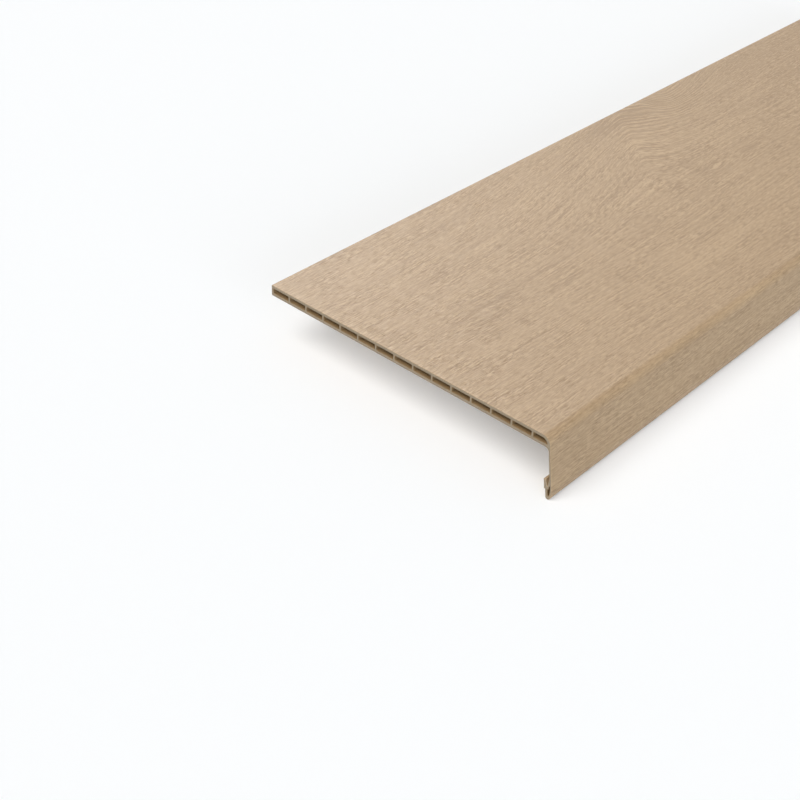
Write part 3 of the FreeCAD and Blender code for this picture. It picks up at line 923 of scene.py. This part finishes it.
def surround_world(studio):
    """Soft light all round, seen as white."""
    world = bpy.data.worlds.new("surround")
    world.use_nodes = True
    tree = world.node_tree
    light = tree.nodes["Background"]
    light.inputs["Color"].default_value = (*SKY, 1.0)
    light.inputs["Strength"].default_value = studio.surround
    plain = new_node(tree, "ShaderNodeBackground")
    plain.inputs["Color"].default_value = (0.98, 0.98, 0.98, 1.0)
    plain.inputs["Strength"].default_value = 1.0
    choice = new_node(tree, "ShaderNodeMixShader")
    tree.links.new(seen_plain(tree), choice.inputs["Fac"])
    tree.links.new(light.outputs["Background"], choice.inputs[1])
    tree.links.new(plain.outputs["Background"], choice.inputs[2])
    tree.links.new(choice.outputs["Shader"], tree.nodes["World Output"].inputs["Surface"])
    return world


def floor_material(studio):
    """White paper: the camera sees it plain, with a pale shadow."""
    made, tree, shader = start_material("floor_paper")
    shader.inputs["Base Color"].default_value = (*studio.floor, 1.0)
    shader.inputs["Roughness"].default_value = 0.9
    shader.inputs["Specular IOR Level"].default_value = 0.0
    plain = new_node(tree, "ShaderNodeEmission")
    plain.inputs["Color"].default_value = (0.98, 0.98, 0.98, 1.0)
    plain.inputs["Strength"].default_value = 1.0
    share = math_node(tree, "MULTIPLY", seen_plain(tree), studio.lift)
    choice = new_node(tree, "ShaderNodeMixShader")
    out = next(n for n in tree.nodes if n.bl_idname == "ShaderNodeOutputMaterial")
    tree.links.new(share, choice.inputs["Fac"])
    tree.links.new(shader.outputs["BSDF"], choice.inputs[1])
    tree.links.new(plain.outputs["Emission"], choice.inputs[2])
    tree.links.new(choice.outputs["Shader"], out.inputs["Surface"])
    return made


def soft_light(name, toward, strength, width, colour, card=False):
    """A wide soft lamp far off in one direction: a card shows in the sheen alone."""
    bpy.ops.object.light_add(type="SUN", location=toward * 3.0)
    lamp = bpy.context.object
    lamp.name = name
    lamp.data.energy = strength
    lamp.data.angle = width
    lamp.data.color = colour
    lamp.rotation_euler = (-toward).to_track_quat("-Z", "Y").to_euler()
    lamp.visible_diffuse = not card


class TREAD_OT_stage(bpy.types.Operator):
    """Set the floor, the soft light and the camera"""

    bl_idname = "tread.stage"
    bl_label = "Studio"
    bl_options = {"REGISTER", "UNDO"}

    def execute(self, context):
        studio = context.scene.tread_studio
        clear_old("floor", "overhead", "front_light", "card", "camera")
        bpy.ops.object.select_all(action="DESELECT")
        bpy.ops.mesh.primitive_plane_add(size=60.0, location=(0.0, 0.0, 0.0))
        floor = context.object
        floor.name = "floor"
        floor.data.materials.append(floor_material(studio))

        context.scene.world = surround_world(studio)
        soft_light(
            "overhead", Vector((-0.65, 0.19, 1.0)), studio.overhead, math.radians(39.0), WARM
        )
        soft_light(
            "front_light", Vector((-0.5, -1.0, 0.10)), studio.front, math.radians(50.0), COOL
        )
        soft_light(
            "card", Vector((0.299, 0.641, 0.707)), studio.sheen, math.radians(50.0), WHITE,
            card=True,
        )

        azimuth, elevation, roll = (
            math.radians(-48.965), math.radians(36.396), math.radians(2.495)
        )
        ahead = Vector((
            -math.sin(azimuth) * math.cos(elevation),
            math.cos(azimuth) * math.cos(elevation),
            -math.sin(elevation),
        ))
        right = ahead.cross(Vector((0.0, 0.0, 1.0))).normalized()
        above = right.cross(ahead)
        turned = right * math.cos(roll) + above * math.sin(roll)
        risen = above * math.cos(roll) - right * math.sin(roll)
        bpy.ops.object.camera_add(location=(0.0, 0.0, 0.0))
        camera = context.object
        camera.name = "camera"
        camera.data.sensor_width = 36.0
        camera.data.lens = 62.22
        camera.data.clip_start = 0.01
        camera.data.clip_end = 200.0
        place = Matrix((turned, risen, -ahead)).transposed().to_4x4()
        place.translation = Vector((-1.1689, -0.5798, 0.6675))
        camera.matrix_world = place
        context.scene.camera = camera
        context.scene.view_settings.view_transform = "Standard"
        return {"FINISHED"}


class TREAD_PT_panel(bpy.types.Panel):
    """Shows the two builders and the tread's sizes, finish and studio"""

    bl_idname = "TREAD_PT_panel"
    bl_label = "Stair Tread"
    bl_space_type = "VIEW_3D"
    bl_region_type = "UI"
    bl_category = "Stair Tread"

    def draw(self, context):
        layout = self.layout
        for operator in (TREAD_OT_profile, TREAD_OT_stage):
            layout.operator(operator.bl_idname)
        for group in ("tread_sizes", "tread_finish", "tread_studio"):
            values = getattr(context.scene, group)
            box = layout.box()
            for name in values.__annotations__:
                box.prop(values, name)


GROUPS = {
    "tread_sizes": TreadSizes,
    "tread_finish": TreadFinish,
    "tread_studio": TreadStudio,
}
CLASSES = (*GROUPS.values(), TREAD_OT_profile, TREAD_OT_stage, TREAD_PT_panel)


def register():
    for cls in CLASSES:
        bpy.utils.register_class(cls)
    for name, group in GROUPS.items():
        setattr(bpy.types.Scene, name, PointerProperty(type=group))


def unregister():
    for name in GROUPS:
        delattr(bpy.types.Scene, name)
    for cls in reversed(CLASSES):
        bpy.utils.unregister_class(cls)


def main():
    """Builds everything in order."""
    register()
    bpy.ops.tread.stage()
    bpy.ops.tread.profile()


if __name__ == "__main__":
    main()
